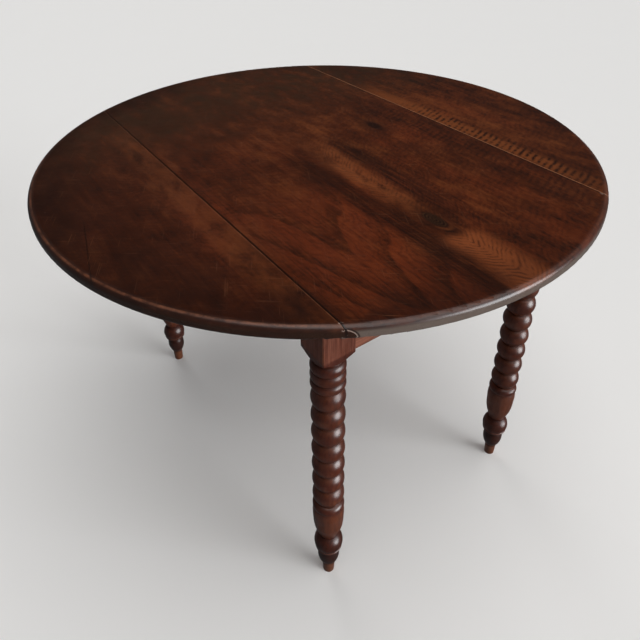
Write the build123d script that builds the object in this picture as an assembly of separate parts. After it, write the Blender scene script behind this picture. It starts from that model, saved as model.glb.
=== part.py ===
"""Round drop-leaf table on four bead-turned legs, modelled piece by piece in build123d.

Millimetres, +Z up, origin on the floor under the middle of the top. The two seams run along Y, and
the leaves drop at +X and -X. Under each leaf, two wooden brackets swing out on knuckle joints and
hold the leaf up. The model stands with both leaves up and the brackets folded.
"""

import os

from build123d import *

# Overall size
TABLE_HEIGHT = 730.0
TOP_DIAMETER = 1080.0
TOP_THICKNESS = 21.0
EDGE_UPPER_RADIUS = 9.0
EDGE_LOWER_RADIUS = 6.0
UNDERSIDE = TABLE_HEIGHT - TOP_THICKNESS
CUT_MARGIN = 1.0

# Rule joint between the fixed top and a leaf: the leaf has the round tongue
SEAM_X = 281.0
SEAM_GAP = 0.8
AXIS_LIFT = 2.8
AXIS_Z = UNDERSIDE + AXIS_LIFT
TONGUE_RADIUS = 14.2
COVE_RADIUS = 14.6

# Legs
LEG_X = 239.0
LEG_Y = 366.0
BLOCK_SIZE = 60.0
BLOCK_CHAMFER = 1.5
FOOT_RADIUS = 11.0
PEG_TOP_RADIUS = 12.5
PEG_TOP_Z = 31.0
BULB_RADIUS = 21.0
BULB_MID_Z = 57.0
BULB_TOP_Z = 81.0
BULB_NECK_RADIUS = 16.5
BALL_LIP_RADIUS = 26.0
BALL_LIP_Z = 89.0
BALL_LIP_STEP = 1.0
BALL_RADIUS = 27.4
BALL_MID_Z = 103.0
BALL_TOP_Z = 123.0
VASE_NECK_RADIUS = 17.0
VASE_RADIUS = 28.8
VASE_WAIST_Z = 132.0
VASE_WAIST_RADIUS = 19.0
VASE_LOW_Z = 152.0
VASE_LOW_RADIUS = 25.6
VASE_MID_Z = 186.0
VASE_TOP_Z = 215.0
VASE_TOP_RADIUS = 26.0
VASE_TOP_LEAN = -0.35
COLLAR_STEP = 1.4
BEAD_RADIUS = 28.8
BEAD_NECK_RADIUS = 19.0
BEAD_COUNT = 7
BEAD_PITCH = 41.2
BEADS_START_Z = 231.5
RING_PITCH = 20.0
RING_NECK_RADII = (25.2, 25.2, 23.5)
SHOULDER_TOP_Z = 600.0
SHOULDER_TOP_RADIUS = 43.0
SHOULDER_HOLLOW = 2.5

# Rails, tenoned into the leg blocks and pinned with wooden pegs
RAIL_THICKNESS = 22.0
RAIL_BOTTOM_Z = 603.0
END_RAIL_SETBACK = 2.0
SIDE_RAIL_OUTER_X = 235.5
TENON_THICKNESS = 8.0
TENON_LENGTH = 26.0
TENON_MARGIN = 14.0
PEG_RADIUS = 4.0
PEG_LEVELS = (640.0, 676.0)
END_PEG_LENGTH = 30.0
SIDE_PEG_LENGTH = 56.0

# Corner blocks inside the frame
CORNER_BLOCK_HEIGHT = 42.0
CORNER_BLOCK_REACH = 78.0
CORNER_BLOCK_WIDTH = 38.0
CORNER_SCREW_PLACES = ((197.0, 298.0), (164.0, 350.0))

# Fly blocks and swinging brackets, with wooden knuckle joints
BRACKET_THICKNESS = 22.0
BRACKET_TOP_GAP = 0.5
BRACKET_TOP_Z = UNDERSIDE - BRACKET_TOP_GAP
KNUCKLE_HEIGHT = 90.0
KNUCKLE_COUNT = 5
KNUCKLE_RADIUS = BRACKET_THICKNESS / 2
KNUCKLE_GAP = 0.3
BEVEL_GAP = 0.3
PIVOT_X = 247.0
PIVOT_Y = 105.0
BRACKET_REACH = 222.0
BRACKET_TIP_HEIGHT = 30.0
BRACKET_HEEL_SHARE = 0.22
BRACKET_WAIST_SHARE = 0.55
BRACKET_WAIST_RISE = 0.45
BRACKET_TIP_SLOPE = 0.15
BRACKET_PIN_RADIUS = 3.0
BRACKET_PIN_CLEARANCE = 0.06
KNUCKLE_BOTTOM_Z = BRACKET_TOP_Z - KNUCKLE_HEIGHT

# Leaf hinges: flush plates, with the barrel let up into the wood
HINGE_YS = (-285.0, 0.0, 285.0)
HINGE_WIDTH = 38.0
HINGE_THICKNESS = 2.0
BARREL_RADIUS = 2.75
HINGE_PIN_RADIUS = 1.25
HINGE_PIN_CLEARANCE = 0.05
HINGE_GAP = 0.3
FRAME_PLATE_END_X = SEAM_X - 44.0
LEAF_PLATE_END_X = SEAM_X + 31.0
HINGE_SCREW_SPREAD = 12.0
FRAME_PAIR_INSET = 7.0
FRAME_SINGLE_INSET = 22.0
LEAF_PAIR_INSET = 11.0
LEAF_SINGLE_INSET = 24.0
GUTTER_RADIUS = 3.3
KNUCKLE_SHARE = 0.3
PLATE_FIT = 0.25

# Countersunk wood screws
SCREW_SHANK_RADIUS = 1.75
SCREW_HEAD_RADIUS = 3.5
SCREW_HEAD_DEPTH = 1.8
SCREW_SLOT_WIDTH = 0.8
SCREW_SLOT_DEPTH = 0.9
SCREW_TIP_LENGTH = 3.0
HINGE_SCREW_LENGTH = 15.0
BLOCK_SCREW_LENGTH = 54.0
FLY_SCREW_LENGTH = 38.0
FLY_SCREW_Y = 60.0
FLY_SCREW_MARGIN = 22.0

SIDES = {"left": -1, "right": 1}
ENDS = {"front": -1, "back": 1}


def box(x_range, y_range, z_range):
    """Box between two limits on each axis."""
    spans = [x_range, y_range, z_range]
    sizes = [high - low for low, high in spans]
    centre = [(high + low) / 2 for low, high in spans]
    return Pos(*centre) * Box(*sizes)


def extrude_along_y(face, y_low, y_high):
    """Solid from a face drawn with x across and y up, standing in XZ and running along Y."""
    plane = Plane(origin=(0, y_high, 0), x_dir=(1, 0, 0), z_dir=(0, -1, 0))
    return extrude(plane * face, amount=y_high - y_low)


def on_side(shape, side):
    """Copy of a shape drawn for +X, on the right (+1) or mirrored to the left (-1)."""
    return shape if side > 0 else mirror(shape, about=Plane.YZ)


def at_end(shape, end):
    """Copy of a shape drawn for +Y, at the back (+1) or mirrored to the front (-1)."""
    return shape if end > 0 else mirror(shape, about=Plane.XZ)


def keep(name, *shapes):
    """Write one node; several shapes become separate solids of one group."""
    solids = [solid for shape in shapes for solid in shape.solids()]
    node = solids[0] if len(solids) == 1 else Compound(children=solids)
    export_step(node, f"parts/{name}.step")


# Screws ------------------------------------------------------------------------------------------


def screw_body(length):
    """Screw without its slot, head face at z = 0 and the shank running up +Z."""
    outline = Polyline(
        (0, 0),
        (SCREW_HEAD_RADIUS, 0),
        (SCREW_SHANK_RADIUS, SCREW_HEAD_DEPTH),
        (SCREW_SHANK_RADIUS, length - SCREW_TIP_LENGTH),
        (0, length),
        close=True,
    )
    return revolve(Plane.XZ * make_face(outline), Axis.Z)


def slotted(screw_place, length):
    """Finished screw at a place, with the driver slot across its head."""
    slot = Box(2 * SCREW_HEAD_RADIUS, SCREW_SLOT_WIDTH, 2 * SCREW_SLOT_DEPTH)
    return screw_place * (screw_body(length) - slot)


# Top and leaves ----------------------------------------------------------------------------------


def round_top():
    """Whole round top in one piece, with its moulded edge."""
    disc = Pos(0, 0, UNDERSIDE + TOP_THICKNESS / 2) * Cylinder(TOP_DIAMETER / 2, TOP_THICKNESS)
    rims = disc.edges().filter_by(GeomType.CIRCLE).sort_by(Axis.Z)
    disc = fillet(rims[-1], EDGE_UPPER_RADIUS)
    rims = disc.edges().filter_by(GeomType.CIRCLE).sort_by(Axis.Z)
    return fillet(rims[0], EDGE_LOWER_RADIUS)


def section_band(x_low, x_high):
    """Upright band of a section, taller than the top, so that it cuts clean through the disc."""
    middle = Pos((x_low + x_high) / 2, UNDERSIDE + TOP_THICKNESS / 2)
    return middle * Rectangle(x_high - x_low, 2 * TOP_THICKNESS)


def fixed_top_section():
    """Right half of the fixed top's section, coved under the lip at the seam."""
    slab = section_band(0, SEAM_X - SEAM_GAP / 2)
    cove = Pos(SEAM_X, AXIS_Z) * Circle(COVE_RADIUS)
    below = Pos(SEAM_X - COVE_RADIUS / 2, AXIS_Z - TOP_THICKNESS / 2)
    return slab - cove - below * Rectangle(COVE_RADIUS, TOP_THICKNESS)


def leaf_section():
    """Right leaf's section: a slab with a round tongue that tucks under the fixed top's lip."""
    slab = section_band(SEAM_X + SEAM_GAP / 2, TOP_DIAMETER / 2 + CUT_MARGIN)
    tongue = Pos(SEAM_X, AXIS_Z) * Circle(TONGUE_RADIUS)
    return slab + (tongue & section_band(SEAM_X - TONGUE_RADIUS, SEAM_X + SEAM_GAP))


def frame_screw_spots(hinge_y):
    """Places of the three screws that hold a hinge's frame plate, for the right seam."""
    pair_x = FRAME_PLATE_END_X + FRAME_PAIR_INSET
    single_x = FRAME_PLATE_END_X + FRAME_SINGLE_INSET
    return [
        Pos(pair_x, hinge_y - HINGE_SCREW_SPREAD, UNDERSIDE),
        Pos(pair_x, hinge_y + HINGE_SCREW_SPREAD, UNDERSIDE),
        Pos(single_x, hinge_y, UNDERSIDE),
    ]


def leaf_screw_spots(hinge_y):
    """Places of the three screws that hold a hinge's leaf plate, for the right seam."""
    pair_x, single_x = SEAM_X + LEAF_PAIR_INSET, SEAM_X + LEAF_SINGLE_INSET
    return [
        Pos(pair_x, hinge_y - HINGE_SCREW_SPREAD, UNDERSIDE),
        Pos(pair_x, hinge_y + HINGE_SCREW_SPREAD, UNDERSIDE),
        Pos(single_x, hinge_y, UNDERSIDE),
    ]


def corner_screw_spots():
    """Places of the two screws up through the back right corner block, head down."""
    block_bottom = UNDERSIDE - CORNER_BLOCK_HEIGHT
    return [Pos(x, y, block_bottom) for x, y in CORNER_SCREW_PLACES]


def plate_recess(x_low, x_high, hinge_y):
    """Shallow recess for a hinge plate in the underside."""
    half = HINGE_WIDTH / 2 + PLATE_FIT
    depth = (UNDERSIDE - CUT_MARGIN, UNDERSIDE + HINGE_THICKNESS)
    return box((x_low, x_high), (hinge_y - half, hinge_y + half), depth)


def make_fixed_top(disc):
    """Two boards, glued along the middle, with the hinge recesses and screw holes."""
    half_length = TOP_DIAMETER / 2 + CUT_MARGIN
    board = disc & extrude_along_y(fixed_top_section(), -half_length, half_length)
    for hinge_y in HINGE_YS:
        board -= plate_recess(FRAME_PLATE_END_X - PLATE_FIT, SEAM_X, hinge_y)
        for place in frame_screw_spots(hinge_y):
            board -= place * screw_body(HINGE_SCREW_LENGTH)
    for end in ENDS.values():
        for place in corner_screw_spots():
            board -= at_end(place * screw_body(BLOCK_SCREW_LENGTH), end)
    for name, side in SIDES.items():
        keep(f"top_board_{name}", on_side(board, side))


def make_leaves(disc):
    """Both leaves, notched where the hinges cross the tongue."""
    half_length = TOP_DIAMETER / 2 + CUT_MARGIN
    leaf = disc & extrude_along_y(leaf_section(), -half_length, half_length)
    edge_x = SEAM_X + SEAM_GAP / 2
    for hinge_y in HINGE_YS:
        half = HINGE_WIDTH / 2 + 2 * PLATE_FIT
        across = (hinge_y - half, hinge_y + half)
        notch_z = (UNDERSIDE - CUT_MARGIN, AXIS_Z + COVE_RADIUS)
        leaf -= box((SEAM_X - COVE_RADIUS, edge_x), across, notch_z)
        leaf -= axis_rod(*across, GUTTER_RADIUS)
        leaf -= plate_recess(SEAM_X, LEAF_PLATE_END_X + PLATE_FIT, hinge_y)
        for place in leaf_screw_spots(hinge_y):
            leaf -= place * screw_body(HINGE_SCREW_LENGTH)
    for name, side in SIDES.items():
        keep(f"leaf_{name}", on_side(leaf, side))


# Leaf hinges -------------------------------------------------------------------------------------


def axis_rod(y_low, y_high, radius):
    """Round rod along the right leaf's axis."""
    return Pos(SEAM_X, (y_low + y_high) / 2, AXIS_Z) * Rot(90, 0, 0) * Cylinder(radius, y_high - y_low)


def barrel(y_low, y_high, bore_radius):
    """One knuckle of the hinge barrel."""
    return axis_rod(y_low, y_high, BARREL_RADIUS) - axis_rod(y_low, y_high, bore_radius)


def hinge_spans(hinge_y):
    """Y limits of the three knuckles: frame, leaf, frame."""
    low = hinge_y - HINGE_WIDTH / 2
    high = hinge_y + HINGE_WIDTH / 2
    share = KNUCKLE_SHARE * HINGE_WIDTH
    middle = (low + share + HINGE_GAP, high - share - HINGE_GAP)
    return (low, low + share), middle, (high - share, high)


def frame_plate(hinge_y):
    """Plate screwed to the fixed top, with the two outer knuckles."""
    first, middle, last = hinge_spans(hinge_y)
    plate_z = (UNDERSIDE, UNDERSIDE + HINGE_THICKNESS)
    stop_x = SEAM_X - BARREL_RADIUS - HINGE_GAP
    plate = box((FRAME_PLATE_END_X, stop_x), (first[0], last[1]), plate_z)
    for low, high in (first, last):
        plate += box((stop_x, SEAM_X), (low, high), plate_z)
        plate += barrel(low, high, HINGE_PIN_RADIUS)
        plate -= axis_rod(low, high, HINGE_PIN_RADIUS)
    for place in frame_screw_spots(hinge_y):
        plate -= place * screw_body(HINGE_SCREW_LENGTH)
    return plate


def leaf_plate(hinge_y):
    """Plate screwed to the leaf, with the middle knuckle."""
    first, middle, last = hinge_spans(hinge_y)
    bore = HINGE_PIN_RADIUS + HINGE_PIN_CLEARANCE
    plate_z = (UNDERSIDE, UNDERSIDE + HINGE_THICKNESS)
    start_x = SEAM_X + BARREL_RADIUS + 2 * HINGE_GAP
    plate = box((start_x, LEAF_PLATE_END_X), (first[0], last[1]), plate_z)
    plate += box((SEAM_X, start_x), middle, plate_z)
    plate += barrel(*middle, bore)
    plate -= axis_rod(*middle, bore)
    for place in leaf_screw_spots(hinge_y):
        plate -= place * screw_body(HINGE_SCREW_LENGTH)
    return plate


def make_hinges():
    """Three hinges at each seam, grouped by kind."""
    half = HINGE_WIDTH / 2
    frame_spots = [place for y in HINGE_YS for place in frame_screw_spots(y)]
    leaf_spots = [place for y in HINGE_YS for place in leaf_screw_spots(y)]
    groups = {
        "hinge_frame_plates": [frame_plate(y) for y in HINGE_YS],
        "hinge_leaf_plates": [leaf_plate(y) for y in HINGE_YS],
        "hinge_pins": [axis_rod(y - half, y + half, HINGE_PIN_RADIUS) for y in HINGE_YS],
        "hinge_frame_screws": [slotted(place, HINGE_SCREW_LENGTH) for place in frame_spots],
        "hinge_leaf_screws": [slotted(place, HINGE_SCREW_LENGTH) for place in leaf_spots],
    }
    for name, side in SIDES.items():
        for group, shapes in groups.items():
            keep(f"{group}_{name}", *[on_side(shape, side) for shape in shapes])


# Legs --------------------------------------------------------------------------------------------


def turning_outline():
    """Outline of the turned leg from the foot up to the square block, radius across and height up."""
    lines = [Line((0, 0), (FOOT_RADIUS, 0)), Line((FOOT_RADIUS, 0), (PEG_TOP_RADIUS, PEG_TOP_Z))]

    def bulge(radius, middle_z, top_radius, top_z):
        start = lines[-1] @ 1
        lines.append(ThreePointArc((start.X, start.Y), (radius, middle_z), (top_radius, top_z)))

    bulge(BULB_RADIUS, BULB_MID_Z, BULB_NECK_RADIUS, BULB_TOP_Z)
    lip_start_z = BALL_LIP_Z - BALL_LIP_STEP
    bulge(BALL_LIP_RADIUS - BALL_LIP_STEP, (BULB_TOP_Z + lip_start_z) / 2, BALL_LIP_RADIUS, lip_start_z)
    lines.append(Line((BALL_LIP_RADIUS, lip_start_z), (BALL_LIP_RADIUS - BALL_LIP_STEP, BALL_LIP_Z)))
    bulge(BALL_RADIUS, BALL_MID_Z, VASE_NECK_RADIUS, BALL_TOP_Z)
    vase_start = (VASE_NECK_RADIUS, BALL_TOP_Z)
    lines.append(
        Spline(
            vase_start,
            (VASE_WAIST_RADIUS, VASE_WAIST_Z),
            (VASE_LOW_RADIUS, VASE_LOW_Z),
            (VASE_RADIUS, VASE_MID_Z),
            (VASE_TOP_RADIUS, VASE_TOP_Z),
            tangents=((0, 1), (VASE_TOP_LEAN, 1)),
        )
    )
    collar = VASE_TOP_RADIUS + COLLAR_STEP
    lines.append(Line((VASE_TOP_RADIUS, VASE_TOP_Z), (collar, VASE_TOP_Z)))
    bulge(BEAD_RADIUS, (VASE_TOP_Z + BEADS_START_Z) / 2, BEAD_NECK_RADIUS, BEADS_START_Z)
    bead_z = BEADS_START_Z
    for _ in range(BEAD_COUNT):
        bulge(BEAD_RADIUS, bead_z + BEAD_PITCH / 2, BEAD_NECK_RADIUS, bead_z + BEAD_PITCH)
        bead_z += BEAD_PITCH
    for neck in RING_NECK_RADII:
        bulge(BEAD_RADIUS, bead_z + RING_PITCH / 2, neck, bead_z + RING_PITCH)
        bead_z += RING_PITCH
    hollow_radius = (RING_NECK_RADII[-1] + SHOULDER_TOP_RADIUS) / 2 - SHOULDER_HOLLOW
    hollow_z = (bead_z + SHOULDER_TOP_Z) / 2 + SHOULDER_HOLLOW
    bulge(hollow_radius, hollow_z, SHOULDER_TOP_RADIUS, SHOULDER_TOP_Z)
    lines.append(Line((SHOULDER_TOP_RADIUS, SHOULDER_TOP_Z), (SHOULDER_TOP_RADIUS, UNDERSIDE)))
    lines.append(Line((SHOULDER_TOP_RADIUS, UNDERSIDE), (0, UNDERSIDE)))
    lines.append(Line((0, UNDERSIDE), (0, 0)))
    return lines


def square_stock():
    """Square stock of a leg, with eased corners."""
    across = (-BLOCK_SIZE / 2, BLOCK_SIZE / 2)
    stock = box(across, across, (0, UNDERSIDE))
    return chamfer(stock.edges().filter_by(Axis.Z), BLOCK_CHAMFER)


def side_tenon(y_low):
    """Tenon of the right side rail, running along +Y from y_low."""
    middle_x = SIDE_RAIL_OUTER_X - RAIL_THICKNESS / 2
    x_range = (middle_x - TENON_THICKNESS / 2, middle_x + TENON_THICKNESS / 2)
    z_range = (RAIL_BOTTOM_Z + TENON_MARGIN, UNDERSIDE - TENON_MARGIN)
    return box(x_range, (y_low, y_low + TENON_LENGTH), z_range)


def end_tenon():
    """Right tenon of the back end rail, running along +X into the leg."""
    outer_y = LEG_Y + BLOCK_SIZE / 2 - END_RAIL_SETBACK
    middle_y = outer_y - RAIL_THICKNESS / 2
    start_x = LEG_X - BLOCK_SIZE / 2
    y_range = (middle_y - TENON_THICKNESS / 2, middle_y + TENON_THICKNESS / 2)
    z_range = (RAIL_BOTTOM_Z + TENON_MARGIN, UNDERSIDE - TENON_MARGIN)
    return box((start_x, start_x + TENON_LENGTH), y_range, z_range)


def corner_pegs():
    """The four pegs in the back right leg: two through each tenon."""
    outer_x = LEG_X + BLOCK_SIZE / 2
    outer_y = LEG_Y + BLOCK_SIZE / 2
    tenon_x = LEG_X - BLOCK_SIZE / 2 + TENON_LENGTH / 2
    tenon_y = LEG_Y - BLOCK_SIZE / 2 + TENON_LENGTH / 2
    pegs = []
    for level in PEG_LEVELS:
        end_peg = Pos(tenon_x, outer_y - END_PEG_LENGTH / 2, level) * Rot(90, 0, 0)
        pegs.append(end_peg * Cylinder(PEG_RADIUS, END_PEG_LENGTH))
        side_peg = Pos(outer_x - SIDE_PEG_LENGTH / 2, tenon_y, level) * Rot(0, 90, 0)
        pegs.append(side_peg * Cylinder(PEG_RADIUS, SIDE_PEG_LENGTH))
    return pegs


def make_legs():
    """Four legs, each one piece of wood: square block above, beads, vase, ball and peg foot below."""
    turning = revolve(Plane.XZ * make_face(turning_outline()), Axis.Z)
    leg = Pos(LEG_X, LEG_Y, 0) * (square_stock() & turning)
    leg = leg - side_tenon(LEG_Y - BLOCK_SIZE / 2) - end_tenon()
    for peg in corner_pegs():
        leg -= peg
    for side_name, side in SIDES.items():
        for end_name, end in ENDS.items():
            keep(f"leg_{end_name}_{side_name}", at_end(on_side(leg, side), end))
    right_pegs = corner_pegs()
    pegs = right_pegs + [on_side(peg, -1) for peg in right_pegs]
    keep("tenon_pegs", *pegs, *[at_end(peg, -1) for peg in pegs])


# Frame rails and corner blocks -------------------------------------------------------------------


def fly_screw_spots():
    """Places of the four screws through the right side rail into its fly block, head inside."""
    inner_x = SIDE_RAIL_OUTER_X - RAIL_THICKNESS
    levels = (KNUCKLE_BOTTOM_Z + FLY_SCREW_MARGIN, BRACKET_TOP_Z - FLY_SCREW_MARGIN)
    ys = (-FLY_SCREW_Y, FLY_SCREW_Y)
    return [Pos(inner_x, y, z) * Rot(0, 90, 0) for y in ys for z in levels]


def make_rails():
    """End rails and side rails, each tenoned at both ends."""
    outer_y = LEG_Y + BLOCK_SIZE / 2 - END_RAIL_SETBACK
    leg_inner_x = LEG_X - BLOCK_SIZE / 2
    leg_inner_y = LEG_Y - BLOCK_SIZE / 2
    heights = (RAIL_BOTTOM_Z, UNDERSIDE)
    end_rail = box((-leg_inner_x, leg_inner_x), (outer_y - RAIL_THICKNESS, outer_y), heights)
    end_rail += end_tenon() + mirror(end_tenon(), about=Plane.YZ)
    side_x = (SIDE_RAIL_OUTER_X - RAIL_THICKNESS, SIDE_RAIL_OUTER_X)
    side_rail = box(side_x, (-leg_inner_y, leg_inner_y), heights)
    side_rail += side_tenon(leg_inner_y) + mirror(side_tenon(leg_inner_y), about=Plane.XZ)
    for peg in corner_pegs():
        end_rail = end_rail - peg - mirror(peg, about=Plane.YZ)
        side_rail = side_rail - peg - mirror(peg, about=Plane.XZ)
    for place in fly_screw_spots():
        side_rail -= place * screw_body(FLY_SCREW_LENGTH)
    for name, end in ENDS.items():
        keep(f"end_rail_{name}", at_end(end_rail, end))
    for name, side in SIDES.items():
        keep(f"side_rail_{name}", on_side(side_rail, side))


def make_corner_blocks():
    """Diagonal blocks inside the corners, screwed up into the fixed top."""
    rail_x = SIDE_RAIL_OUTER_X - RAIL_THICKNESS
    rail_y = LEG_Y + BLOCK_SIZE / 2 - END_RAIL_SETBACK - RAIL_THICKNESS
    outline = Polyline(
        (rail_x, rail_y - CORNER_BLOCK_REACH - CORNER_BLOCK_WIDTH / 2),
        (rail_x, rail_y - CORNER_BLOCK_REACH + CORNER_BLOCK_WIDTH / 2),
        (rail_x - CORNER_BLOCK_WIDTH, rail_y),
        (rail_x - CORNER_BLOCK_REACH, rail_y),
        close=True,
    )
    bottom = Pos(0, 0, UNDERSIDE - CORNER_BLOCK_HEIGHT)
    block = extrude(bottom * make_face(outline), CORNER_BLOCK_HEIGHT)
    for place in corner_screw_spots():
        block -= place * screw_body(BLOCK_SCREW_LENGTH)
    screws = [slotted(place, BLOCK_SCREW_LENGTH) for place in corner_screw_spots()]
    all_screws = []
    for side_name, side in SIDES.items():
        for end_name, end in ENDS.items():
            keep(f"corner_block_{end_name}_{side_name}", at_end(on_side(block, side), end))
            all_screws += [at_end(on_side(screw, side), end) for screw in screws]
    keep("corner_block_screws", *all_screws)


# Fly blocks and brackets -------------------------------------------------------------------------


def knuckle_bands(own_parity, shrink):
    """Z limits of the knuckle bands of one parity, shortened a little at each meeting face."""
    band = KNUCKLE_HEIGHT / KNUCKLE_COUNT
    bands = []
    for index in range(KNUCKLE_COUNT):
        if index % 2 == own_parity:
            low = KNUCKLE_BOTTOM_Z + index * band
            high = low + band
            low += shrink if index > 0 else 0
            high -= shrink if index < KNUCKLE_COUNT - 1 else 0
            bands.append((low, high))
    return bands


def pivot_cylinder(radius, z_low, z_high):
    """Cylinder about the back right bracket's pivot."""
    return Pos(PIVOT_X, PIVOT_Y, (z_low + z_high) / 2) * Cylinder(radius, z_high - z_low)


def knuckle_bevel(sign):
    """Wedge that bevels the outer shoulder at 45 degrees, so that the bracket can swing square."""
    far = 3 * KNUCKLE_RADIUS
    outline = Polyline(
        (PIVOT_X - BEVEL_GAP, PIVOT_Y),
        (PIVOT_X + far, PIVOT_Y),
        (PIVOT_X + far, PIVOT_Y + sign * (far + BEVEL_GAP)),
        close=True,
    )
    bottom = Pos(0, 0, KNUCKLE_BOTTOM_Z - CUT_MARGIN)
    return extrude(bottom * make_face(outline), KNUCKLE_HEIGHT + 2 * CUT_MARGIN)


def with_knuckles(body, bevel, own_bands, other_bands, bore_radius):
    """Add round knuckles in a piece's own bands and clear the mating piece's knuckles from it."""
    piece = body - bevel
    for low, high in other_bands:
        piece -= pivot_cylinder(KNUCKLE_RADIUS + KNUCKLE_GAP, low, high)
    for low, high in own_bands:
        piece += pivot_cylinder(KNUCKLE_RADIUS, low, high)
    return piece - pivot_cylinder(bore_radius, KNUCKLE_BOTTOM_Z, BRACKET_TOP_Z)


def bracket_side_face():
    """Side view of a bracket, y across and z up: straight top, ogee under the tip."""
    tip_y = PIVOT_Y + BRACKET_REACH
    tip_z = BRACKET_TOP_Z - BRACKET_TIP_HEIGHT
    heel_y = PIVOT_Y + BRACKET_HEEL_SHARE * BRACKET_REACH
    waist_y = PIVOT_Y + BRACKET_WAIST_SHARE * BRACKET_REACH
    waist_z = KNUCKLE_BOTTOM_Z + BRACKET_WAIST_RISE * (tip_z - KNUCKLE_BOTTOM_Z)
    lines = [
        Line((PIVOT_Y, KNUCKLE_BOTTOM_Z), (heel_y, KNUCKLE_BOTTOM_Z)),
        Spline(
            (heel_y, KNUCKLE_BOTTOM_Z),
            (waist_y, waist_z),
            (tip_y, tip_z),
            tangents=((1, 0), (1, BRACKET_TIP_SLOPE)),
        ),
        Line((tip_y, tip_z), (tip_y, BRACKET_TOP_Z)),
        Line((tip_y, BRACKET_TOP_Z), (PIVOT_Y, BRACKET_TOP_Z)),
        Line((PIVOT_Y, BRACKET_TOP_Z), (PIVOT_Y, KNUCKLE_BOTTOM_Z)),
    ]
    return make_face(lines)


def make_brackets():
    """Fixed fly blocks, swinging brackets and their pins."""
    block_bands = knuckle_bands(0, 0)
    bracket_bands = knuckle_bands(1, KNUCKLE_GAP)
    bracket_slots = knuckle_bands(1, 0)
    block_slots = [(low - KNUCKLE_GAP, high + KNUCKLE_GAP) for low, high in block_bands]
    outer_x = PIVOT_X + KNUCKLE_RADIUS

    block_body = box((SIDE_RAIL_OUTER_X, outer_x), (0, PIVOT_Y), (KNUCKLE_BOTTOM_Z, BRACKET_TOP_Z))
    bevel = knuckle_bevel(-1)
    half_block = with_knuckles(block_body, bevel, block_bands, bracket_slots, BRACKET_PIN_RADIUS)
    fly_block = half_block + mirror(half_block, about=Plane.XZ)
    for place in fly_screw_spots():
        fly_block -= place * screw_body(FLY_SCREW_LENGTH)

    side_plane = Plane(origin=(PIVOT_X - KNUCKLE_RADIUS, 0, 0), x_dir=(0, 1, 0), z_dir=(1, 0, 0))
    bracket_body = extrude(side_plane * bracket_side_face(), BRACKET_THICKNESS)
    bore = BRACKET_PIN_RADIUS + BRACKET_PIN_CLEARANCE
    bracket = with_knuckles(bracket_body, knuckle_bevel(1), bracket_bands, block_slots, bore)
    pin = pivot_cylinder(BRACKET_PIN_RADIUS, KNUCKLE_BOTTOM_Z, BRACKET_TOP_Z)

    fly_screws = []
    for side_name, side in SIDES.items():
        keep(f"fly_block_{side_name}", on_side(fly_block, side))
        fly_screws += [on_side(slotted(place, FLY_SCREW_LENGTH), side) for place in fly_screw_spots()]
        for end_name, end in ENDS.items():
            keep(f"bracket_{end_name}_{side_name}", at_end(on_side(bracket, side), end))
            keep(f"bracket_pin_{end_name}_{side_name}", at_end(on_side(pin, side), end))
    keep("fly_block_screws", *fly_screws)


os.makedirs("parts", exist_ok=True)
whole_top = round_top()
make_fixed_top(whole_top)
make_leaves(whole_top)
make_hinges()
make_legs()
make_rails()
make_corner_blocks()
make_brackets()
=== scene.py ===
"""Round drop-leaf table in walnut: its finishes, floor, light and camera, laid out as an add-on.

Metres, +Z up, origin on the floor under the middle of the top. The seams run along Y, the leaves
lie at +X and -X, and every finish reads the piece's own coordinates, so it stays on a moving piece.
"""

import math

import bmesh
import bpy
from bpy.props import FloatProperty, FloatVectorProperty, PointerProperty
from bpy.types import Operator, Panel, PropertyGroup
from mathutils import Matrix, Vector


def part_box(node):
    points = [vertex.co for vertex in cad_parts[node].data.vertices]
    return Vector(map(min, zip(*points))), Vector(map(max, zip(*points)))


bl_info = {
    "name": "Drop-leaf Table Finishes",
    "version": (1, 0, 0),
    "blender": (4, 5, 0),
    "location": "3D View > Sidebar > Table",
    "description": "Finishes, floor, light and camera for a round drop-leaf table",
    "category": "Object",
}

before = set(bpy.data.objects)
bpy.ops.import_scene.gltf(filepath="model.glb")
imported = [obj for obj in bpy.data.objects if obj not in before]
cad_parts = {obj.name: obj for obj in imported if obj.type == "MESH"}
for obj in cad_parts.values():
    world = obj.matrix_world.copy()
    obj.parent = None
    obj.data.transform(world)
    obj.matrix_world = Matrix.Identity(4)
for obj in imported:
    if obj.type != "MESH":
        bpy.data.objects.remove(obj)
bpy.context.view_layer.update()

# Places worked out from the frame
TOP_LOW, TOP_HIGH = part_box("top_board_right")
LEAF_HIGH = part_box("leaf_right")[1]
LEG_LOW, LEG_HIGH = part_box("leg_back_right")
TOP_Z = TOP_HIGH[2]
UNDERSIDE_Z = TOP_LOW[2]
SEAM_X = TOP_HIGH[0]
RIM_RADIUS = LEAF_HIGH[0]
LEG_X = (LEG_LOW[0] + LEG_HIGH[0]) / 2
LEG_Y = (LEG_LOW[1] + LEG_HIGH[1]) / 2
BLOCK_HALF = (LEG_HIGH[0] - LEG_LOW[0]) / 2
PIN_LOW, PIN_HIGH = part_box("hinge_pins_right")
SWING_Z = (PIN_LOW[2] + PIN_HIGH[2]) / 2
TONGUE_RADIUS = 0.0142

# Heights and radii of the leg's turning, foot to block
FOOT_TOP_Z = 0.031
BALL_LOW_Z = 0.081
VASE_LOW_Z = 0.123
VASE_HIGH_Z = 0.215
SHOULDER_Z = 0.600
RING_NECKS_Z = (0.5199, 0.5399, 0.5599, 0.5799)
BEAD_NECK = 0.0190
BEAD_CREST = 0.0288


# Node building -----------------------------------------------------------------------------------


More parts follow.
